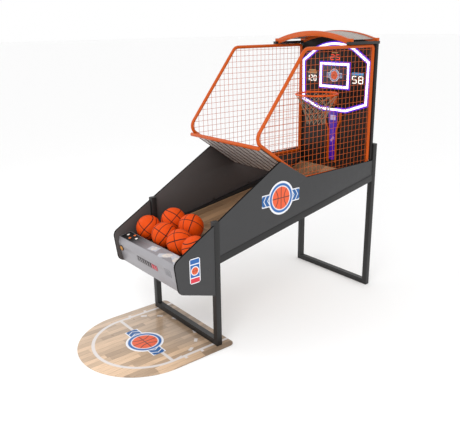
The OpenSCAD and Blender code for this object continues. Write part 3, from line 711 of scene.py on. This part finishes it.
def cageCorners():
    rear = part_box("left_cage_frame")[1].y - cage["tube"]
    return [
        (rear, cage["lowHigh"]), (rear, cage["rearHigh"]), (cage["frontAlong"], cage["rearHigh"]),
        (cage["noseAlong"], cage["noseHigh"]), (cage["valleyAlong"], cage["lowHigh"]),
    ]


def roundCorners(points, radii, steps=8):
    rounded = []
    for place, (point, radius) in enumerate(zip(points, radii)):
        here = Vector(point)
        before = (Vector(points[place - 1]) - here).normalized()
        after = (Vector(points[(place + 1) % len(points)]) - here).normalized()
        half = before.angle(after) / 2
        middle = here + (before + after).normalized() * radius / math.sin(half)
        start = (here + before * radius / math.tan(half) - middle).normalized()
        end = (here + after * radius / math.tan(half) - middle).normalized()
        for step in range(steps + 1):
            rounded.append(middle + start.slerp(end, step / steps) * radius)
    return rounded


def makeCageFrame(side, across):
    outline = roundCorners(cageCorners(), cage["bends"])
    path = [Vector((across, point.x, point.y)) for point in outline]
    piece = tubeAlong(path, cage["tube"], closed=True, sides=6)
    smooth(piece, 60)
    finishPiece(piece, side + "CageFrame", "orange_tube", replaces=(side + "_cage_frame",))


def crossings(fixed, vertical, corners):
    # where a straight wire meets the middle line of the frame's tube
    found = []
    along, aside = (0, 1) if vertical else (1, 0)
    for place, start in enumerate(corners):
        end = corners[(place + 1) % len(corners)]
        if (start[along] - fixed) * (end[along] - fixed) < 0:
            share = (fixed - start[along]) / (end[along] - start[along])
            found.append(start[aside] + (end[aside] - start[aside]) * share)
    return sorted(found)


def makeSideMesh(side, across):
    # upright wires lie on the outer side of the level ones, welded where they cross
    corners = roundCorners(cageCorners(), cage["bends"])
    rear = cageCorners()[0][0]
    outwards = math.copysign(cage["wire"] * 0.95, across)
    wires = []
    for step in range(cage["wires"]):
        upright = rear - cage["cell"] * (step + 0.78)
        level = cage["rearHigh"] - cage["cell"] * (step + 0.6)
        for vertical, fixed in ((True, upright), (False, level)):
            ends = crossings(fixed, vertical, corners)
            if len(ends) != 2:
                continue
            x = across + (outwards if vertical else -outwards)
            reach = cage["tube"] / 2
            spots = (ends[0] + reach, ends[1] - reach)
            wires.append([(x, fixed, at) if vertical else (x, at, fixed) for at in spots])
    piece = tubeAlong(wires, cage["wire"])
    smooth(piece, 80)
    finishPiece(piece, side + "CageMesh", "orange_wire", replaces=(side + "_cage_mesh",))


def makeCrossbar():
    low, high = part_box("front_crossbar")
    middle = (low + high) / 2
    radius = (high.z - low.z) / 2
    bpy.ops.mesh.primitive_cylinder_add(
        vertices=48, radius=radius, depth=high.x - low.x, location=middle,
        rotation=(0, math.pi / 2, 0),
    )
    piece = bpy.context.object
    applyPlace(piece)
    applyModifier(
        piece, "BEVEL", width=0.003, segments=3, limit_method="ANGLE",
        angle_limit=math.radians(50),
    )
    smooth(piece, 35)
    finishPiece(piece, "frontCrossbar", "orange_tube", replaces=("front_crossbar",))


guard = {
    "columns": 10,
    "rows": 6,
    "sheet": 0.0015,
    "downWire": 0.0052,
    "crossWire": 0.0018,
    "inset": 0.004,
    "sink": 0.002,
}


def makeGuard():
    # the sloping guard between the crossbar and the ramp: a pale sheet between brown wires
    low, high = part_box("guard_mesh")
    drop = Vector((0, high.y - low.y, low.z - high.z)).normalized()
    out = Vector((0, -drop.z, drop.y))
    inset, sink = guard["inset"], guard["sink"]
    top = Vector((0, low.y, high.z)) + drop * inset - out * sink
    foot = Vector((0, high.y, low.z)) - drop * inset - out * sink
    left, right = Vector((low.x + inset, 0, 0)), Vector((high.x - inset, 0, 0))
    bpy.ops.mesh.primitive_plane_add(size=1)
    sheet = bpy.context.object
    corners = (foot + left, foot + right, top + left, top + right)
    for vertex, place in zip(sheet.data.vertices, corners):
        vertex.co = place
    applyModifier(sheet, "SOLIDIFY", thickness=guard["sheet"], offset=0)
    sheet.data.materials.append(materials["guard_pale"])
    down, cross = [], []
    for step in range(guard["columns"] + 1):
        across = left.lerp(right, step / guard["columns"])
        down.append([top + across, foot + across])
    for step in range(guard["rows"] + 1):
        place = top.lerp(foot, step / guard["rows"])
        cross.append([place + left, place + right])
    downWires = tubeAlong(down, guard["downWire"])
    wires = joinAll([downWires, tubeAlong(cross, guard["crossWire"])])
    wires.data.materials.append(materials["guard_wire"])
    piece = joinAll([wires, sheet])
    smooth(piece, 50)
    finishPiece(piece, "guardMesh", None, replaces=("guard_mesh",))


# ---- Hoop and net

hoop = {
    "radius": 0.201,
    "rod": 0.008,
    "tangHalf": 0.04,
    "tangThick": 0.012,
    "hooks": 12,
    "hookWire": 0.0022,
    "hookShape": ((0.002, -0.004), (0, -0.011), (-0.004, -0.016), (-0.009, -0.013)),  # out, up
}
netting = {
    "cord": 0.0028,
    "rows": 7,
    "top": 0.197,
    "low": 0.088,
    "height": 0.285,
    "start": 0.0105,
    "apart": 0.0015,  # how far crossing cords pass from each other
    "sag": 0.0025,
    "knot": 1.9,
    "knotHigh": 1.3,
}


def hoopMiddle():
    low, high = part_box("rim")
    middle = (low + high) / 2
    middle.y = low.y + hoop["radius"] + hoop["rod"]
    return middle


def makeHoop():
    middle = hoopMiddle()
    bpy.ops.mesh.primitive_torus_add(
        major_radius=hoop["radius"], minor_radius=hoop["rod"], major_segments=96, minor_segments=20,
        location=middle,
    )
    ring = bpy.context.object
    applyPlace(ring)
    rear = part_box("rim")[1].y
    half, thick = hoop["tangHalf"], hoop["tangThick"] / 2
    tang = roundedBox(
        (middle.x - half, middle.y + hoop["radius"] - 0.002, middle.z - thick),
        (middle.x + half, rear, middle.z + thick), 0.002,
    )
    hooks = []
    for number in range(hoop["hooks"]):
        turn = 2 * math.pi * (number + 0.5) / hoop["hooks"]
        out = Vector((math.cos(turn), math.sin(turn), 0))
        start = middle + out * (hoop["radius"] - 0.006)
        hooks.append([start + out * aside + Vector((0, 0, up)) for aside, up in hoop["hookShape"]])
    piece = joinAll([ring, tang, tubeAlong(hooks, hoop["hookWire"])])
    smooth(piece, 50)
    finishPiece(piece, "rim", "rim_orange", replaces=("rim",))


def netRadius(share):
    # the net narrows quickly under the hoop and hangs almost straight at its end
    return netting["low"] + (netting["top"] - netting["low"]) * (1 - share) ** 1.5


def makeNet():
    middle = hoopMiddle()
    count, rows = hoop["hooks"], netting["rows"]
    step = 2 * math.pi / count
    cords, places = [], []

    def crossing(turn, row, inset=0.0):
        share = row / rows
        radius = netRadius(share) - inset
        sink = netting["start"] + (netting["height"] - 0.016) * share
        return middle + Vector((math.cos(turn) * radius, math.sin(turn) * radius, -sink))

    for number in range(count):
        for way in (1, -1):
            cord = []
            inset = netting["apart"] * way
            for row in range(rows + 1):
                turn = step * (number + 0.5 + way * row / 2)
                cord.append(crossing(turn, row, inset))
                if row < rows:
                    halfway = crossing(turn + way * step / 4, row + 0.5, inset)
                    cord.append(halfway - Vector((0, 0, netting["sag"])))
            cords.append(cord)
        for row in range(1, rows + 1):
            places.append(crossing(step * (number + 0.5 + row / 2), row))
    parts = [tubeAlong(cords, netting["cord"])]
    radius = netting["cord"] * netting["knot"]
    for place in places:
        bpy.ops.mesh.primitive_ico_sphere_add(subdivisions=2, radius=radius, location=place)
        bpy.context.object.scale.z = netting["knotHigh"]
        parts.append(bpy.context.object)
    piece = joinAll(parts)
    applyPlace(piece)
    smooth(piece, 80)
    finishPiece(piece, "net", "net_cord", replaces=("net",))


# ---- Light strips and score digits

lights = {
    "grow": 0.013,
    "strip": 0.022,
    "depth": 0.005,
    "border": 0.008,  # between the target plate and its strips
    "arc": 0.601,
    "archHalf": 0.192,
    "footHalf": 0.165,
    "shoulderHalf": 0.24,
}


def lightOutline():
    # the outer edge of the light strips, anticlockwise from the lower right corner
    low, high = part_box("led_strips")
    right = [
        (lights["footHalf"], low.z), (high.x - 0.01, low.z + 0.08), (high.x, low.z + 0.48),
        (lights["shoulderHalf"], high.z - 0.05),
    ]
    arch = []
    radius = lights["arc"]
    for step in range(-8, 9):
        x = -lights["archHalf"] * step / 8
        arch.append((x, high.z - radius + math.sqrt(radius ** 2 - x * x)))
    return right + arch + [(-x, z) for x, z in reversed(right)]


def grown(outline, distance):
    # the outline moved outwards by distance
    moved = []
    for place, point in enumerate(outline):
        here = Vector(point)
        before = (here - Vector(outline[place - 1])).normalized()
        after = (Vector(outline[(place + 1) % len(outline)]) - here).normalized()
        out = (Vector((before.y, -before.x)) + Vector((after.y, -after.x))).normalized()
        moved.append(here + out * distance / out.dot(Vector((after.y, -after.x))))
    return moved


def lightChannel(outline, outer, inner, name):
    # a flat frame between two offsets of an outline, in front of the strips' rear plane
    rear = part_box("led_strips")[1].y
    depth = lights["depth"]
    loops = []
    for distance in (outer, inner):
        bpy.ops.mesh.primitive_circle_add(vertices=len(outline), radius=1)
        loop = bpy.context.object
        for vertex, place in zip(loop.data.vertices, grown(outline, distance)):
            vertex.co = (place.x, rear - depth / 2, place.y)
        loops.append(loop)
    piece = joinAll(loops)
    bpy.ops.object.mode_set(mode="EDIT")
    bpy.ops.mesh.select_all(action="SELECT")
    bpy.ops.mesh.bridge_edge_loops()
    bpy.ops.object.mode_set(mode="OBJECT")
    applyModifier(piece, "SOLIDIFY", thickness=depth, offset=0)
    bpy.ops.object.mode_set(mode="EDIT")
    bpy.ops.mesh.select_all(action="SELECT")
    bpy.ops.mesh.normals_make_consistent(inside=False)
    bpy.ops.object.mode_set(mode="OBJECT")
    finishPiece(piece, name, "led_edge")


def makeLightEdges():
    # purple channels that show on both sides of the white strips
    outer, width = lights["grow"], lights["strip"]
    lightChannel(lightOutline(), outer, -width - outer, "lightEdgeOuter")
    low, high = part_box("emblem_plate")
    border = lights["border"] + width
    corners = [
        (high.x + border, low.z - border), (high.x + border, high.z + border),
        (low.x - border, high.z + border), (low.x - border, low.z - border),
    ]
    lightChannel(corners, outer, -width - 0.007, "lightEdgeTarget")


digits = {"0": "abcdef", "1": "bc", "2": "abged", "5": "afgcd", "8": "abcdefg"}
scores = {
    "thick": 0.002,
    # name, figures, left and low corner, width and height of one figure, material
    "figures": (
        ("digitsLeft", "120", (-0.364, 2.013), (0.03, 0.052), "digit_white"),
        ("digitsRight", "58", (0.229, 2.016), (0.048, 0.062), "digit_white"),
        ("digitsClock", "25", (-0.052, 2.224), (0.042, 0.046), "digit_red"),
    ),
    # name, bars as left, low, width and height, material
    "labels": (
        ("labelLeft", ((-0.336, 2.108, 0.094, 0.015), (-0.35, 2.084, 0.122, 0.017)), "label_brown"),
        ("labelRight", ((0.226, 2.09, 0.132, 0.024),), "label_blue"),
        ("labelClock", ((-0.04, 2.284, 0.08, 0.01),), "label_brown"),
    ),
}


def makeDigits(name, text, corner, size, material, face):
    # seven-segment figures of thin bars
    left, low = corner
    width, height = size
    bar = height * 0.16
    thick = scores["thick"]
    parts = []
    for number, mark in enumerate(text):
        x = left + number * width * 1.6
        spots = {
            "a": (x + width / 2, low + height, 0), "d": (x + width / 2, low, 0),
            "g": (x + width / 2, low + height / 2, 0), "b": (x + width, low + height * 0.75, 1),
            "c": (x + width, low + height * 0.25, 1), "e": (x, low + height * 0.25, 1),
            "f": (x, low + height * 0.75, 1),
        }
        for segment in digits[mark]:
            across, up, upright = spots[segment]
            reach = (height / 2 if upright else width) / 2 - bar * 0.1
            bpy.ops.mesh.primitive_cylinder_add(
                vertices=6, radius=bar / 2, depth=thick, location=(across, face - thick / 2, up),
                rotation=(math.pi / 2, 0, 0),
            )
            part = bpy.context.object
            applyPlace(part)
            long, middle = (2, up) if upright else (0, across)
            for vertex in part.data.vertices:
                aside = vertex.co[long] - middle
                if abs(aside) > bar * 0.1:
                    vertex.co[long] += math.copysign(reach - bar / 2, aside)
            parts.append(part)
    finishPiece(joinAll(parts), name, material)


def makeScores():
    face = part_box("score_displays")[0].y
    thick = scores["thick"]
    materials["digit_white"] = surface("digitWhite", srgb(240, 236, 228), 0.3).glow(0.9).material
    materials["digit_red"] = surface("digitRed", srgb(225, 50, 25), 0.3).glow(1.0).material
    materials["label_brown"] = surface("labelBrown", srgb(150, 112, 70), 0.5).glow(0.35).material
    materials["label_blue"] = surface("labelBlue", srgb(52, 130, 180), 0.5).glow(0.45).material
    for figures in scores["figures"]:
        makeDigits(*figures, face)
    for name, spots, material in scores["labels"]:
        bars = [
            roundedBox((x, face - thick, z), (x + width, face, z + height), 0.0008)
            for x, z, width, height in spots
        ]
        finishPiece(joinAll(bars), name, material)


# ---- Badges: a ball on a blue disc between two bars

# shares of the badge's height, each badge's width, height and thickness, and where two of them lie
badge = {
    "ring": 0.44,
    "ball": 0.34,
    "bar": 0.19,
    "mat": (0.48, 0.32, 0.0006),
    "panel": (0.43, 0.29, 0.0008),
    "target": (0.2, 0.125, 0.0008),
    "matPlace": (0.03, -0.93),
    "panelPlace": (0.2065, 1.159),
}
paper = srgb(232, 232, 236)
seamBrown = srgb(60, 30, 26)


def badgeMaterial(name, middle, tilt, height):
    # x and y of the tilted frame run across and up the badge
    made = surface(name, paper, 0.3)
    u, v = [axis / height for axis in made.axes("xy", middle, tilt)]
    away = u.length(v)
    line = 0.012
    beside = away.above(badge["ring"] + 0.03, line)
    bars = v.size().below(badge["bar"] - 0.03, line).smaller(beside)
    made.paint(bars, srgb(24, 88, 150))
    chevrons = (u.size() + v.size() * 0.6).repeat(0.15).below(0.014, 0.006)
    made.paint(chevrons.smaller(bars), srgb(226, 228, 232))
    made.paint((away - badge["ring"] + 0.035).size().below(0.038, line), srgb(30, 96, 164))
    ball = away.below(badge["ball"], line)
    made.paint(ball, srgb(226, 88, 42))
    curve = (u.size() - 0.12 - v * v * 1.5).size().below(0.013, 0.006)
    seams = u.size().below(0.012, 0.006).larger(v.size().below(0.012, 0.006)).larger(curve)
    made.paint(seams * ball, seamBrown)
    return made.material


def makeBadge(name, middle, size, turn):
    # turn stands the flat outline up
    width, height, thick = size
    bpy.ops.mesh.primitive_circle_add(vertices=128, radius=1, fill_type="NGON")
    piece = bpy.context.object
    for vertex in piece.data.vertices:
        angle = math.atan2(vertex.co.y, vertex.co.x)
        side = width / 2 / max(abs(math.cos(angle)), 1e-6)
        edge = height * badge["bar"] / max(abs(math.sin(angle)), 1e-6)
        reach = max(height / 2, min(side, edge))
        vertex.co = (math.cos(angle) * reach, math.sin(angle) * reach, 0)
    applyModifier(piece, "SOLIDIFY", thickness=thick, offset=1)
    piece.rotation_euler = [math.radians(angle) for angle in turn]
    piece.location = middle
    applyPlace(piece)
    materials[name] = badgeMaterial(name, middle, turn, height)
    finishPiece(piece, name, name)


def makeBadges():
    mat = (*badge["matPlace"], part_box("floor_mat")[1].z)
    makeBadge("matBadge", mat, badge["mat"], (0, 0, 0))
    for side, sign in (("right", 1), ("left", -1)):
        low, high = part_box(side + "_side_panel")
        middle = (high.x if sign > 0 else low.x, *badge["panelPlace"])
        turn = (90, 0, 90 * sign)
        makeBadge(side + "PanelBadge", middle, badge["panel"], turn)
        makeWingDecal(side, sign)
    low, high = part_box("emblem_plate")
    middle = ((low.x + high.x) / 2, low.y, (low.z + high.z) / 2)
    makeBadge("targetBadge", middle, badge["target"], (90, 0, 0))


decal = {
    "width": 0.1,
    "height": 0.21,
    "thick": 0.0008,
    "along": -0.7015,
    "up": 0.745,
    "corner": 0.02,
    "border": 0.007,
    "band": 0.056,
    "disc": 0.038,
    "ball": 0.031,
    "seam": 0.0014,
}


def makeWingDecal(side, sign):
    low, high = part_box(side + "_wing")
    middle = (high.x if sign > 0 else low.x, decal["along"], decal["up"])
    turn = (90, 0, 90 * sign)
    name = side + "WingDecal"
    bpy.ops.mesh.primitive_plane_add(size=1)
    piece = bpy.context.object
    piece.scale = (decal["width"], decal["height"], 1)
    applyPlace(piece)
    applyModifier(piece, "BEVEL", affect="VERTICES", width=decal["corner"], segments=6)
    applyModifier(piece, "SOLIDIFY", thickness=decal["thick"], offset=1)
    piece.rotation_euler = [math.radians(angle) for angle in turn]
    piece.location = middle
    applyPlace(piece)
    materials[name] = decalMaterial(name, middle, turn)
    finishPiece(piece, name, name)


def decalMaterial(name, middle, tilt):
    made = surface(name, paper, 0.3)
    u, v = made.axes("xy", middle, tilt)
    inside = u.size().below(decal["width"] / 2 - decal["border"])
    inside = inside.smaller(v.size().below(decal["height"] / 2 - decal["border"]))
    made.paint(inside, srgb(28, 92, 162))
    made.paint(inside * v.below(-decal["band"]), srgb(206, 44, 62))
    made.paint(inside * (v.size() - decal["band"]).size().below(0.004), paper)
    away = u.length(v)
    made.paint(away.below(decal["disc"]), srgb(236, 236, 238))
    ball = away.below(decal["ball"])
    made.paint(ball, srgb(226, 92, 44))
    seam = decal["seam"]
    curve = (u.size() - 0.012 - v * v * 12.0).size().below(seam)
    seams = u.size().below(seam).larger(v.size().below(seam)).larger(curve)
    made.paint(seams * ball, seamBrown)
    return made.material


# ---- Balls

ball = {"seam": 0.029, "depth": 0.0014, "oval": 0.62, "bend": 0.36}
# degrees that each ball is rolled
ballTurns = (
    (20, 35, 80), (-38, 20, 15), (70, -25, 140), (35, 60, -30), (-15, -50, 60), (50, 10, 200),
)


def ballMaterial():
    made = surface("ballRubber", srgb(216, 72, 2), 0.6)
    made.shader.inputs["Specular IOR Level"].default_value = 0.15
    made.follow("ballPlace")
    x, z = made.axes("xz")
    oval = (x.size() - ball["oval"] + z * z * ball["bend"]).size()
    seam = x.size().smaller(z.size()).smaller(oval).below(ball["seam"], 0.006)
    pebbles = made.cells(62)
    made.shade(made.noise(2.5), 0.86, 1.1)
    made.paint(seam, srgb(34, 22, 20))
    made.rough(made.noise(9), 0.5, 0.7)
    return made.relief(pebbles, 0.0012, 0.5).material


def seamDepth(place):
    oval = abs(abs(place.x) - ball["oval"] + place.z * place.z * ball["bend"])
    nearest = min(abs(place.x), abs(place.z), oval)
    share = min(1, nearest / ball["seam"])
    return ball["depth"] * (1 - share * share * (3 - 2 * share))


def makeBalls():
    for number, turn in enumerate(ballTurns, 1):
        node = f"ball_{number}"
        low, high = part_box(node)
        radius = (high.z - low.z) / 2
        bpy.ops.mesh.primitive_ico_sphere_add(subdivisions=6, radius=1)
        piece = bpy.context.object
        places = piece.data.attributes.new("ballPlace", "FLOAT_VECTOR", "POINT")
        for vertex, place in zip(piece.data.vertices, places.data):
            place.vector = vertex.co
            vertex.co *= radius - seamDepth(vertex.co)
        piece.rotation_euler = [math.radians(angle) for angle in turn]
        piece.location = (low + high) / 2
        applyPlace(piece)
        smooth(piece, 60)
        finishPiece(piece, f"ball{number}", "ball_rubber", node, replaces=(node,))
    print("balls made:", len(ballTurns))


makeCamera()
makeStudio()
materials = makeMaterials()
print("materials made:", len(materials))
makeFrameParts()
makeStanchion()
for side, sign in (("left", -1), ("right", 1)):
    low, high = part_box(side + "_cage_frame")
    across = (low.x + high.x) / 2
    makeCageFrame(side, across)
    makeSideMesh(side, across)
makeCrossbar()
makeGuard()
makeHoop()
makeNet()
print("cage, hoop and net made")
makeLightEdges()
makeScores()
makeBadges()
makeBalls()

bpy.context.view_layer.update()
print("finished")
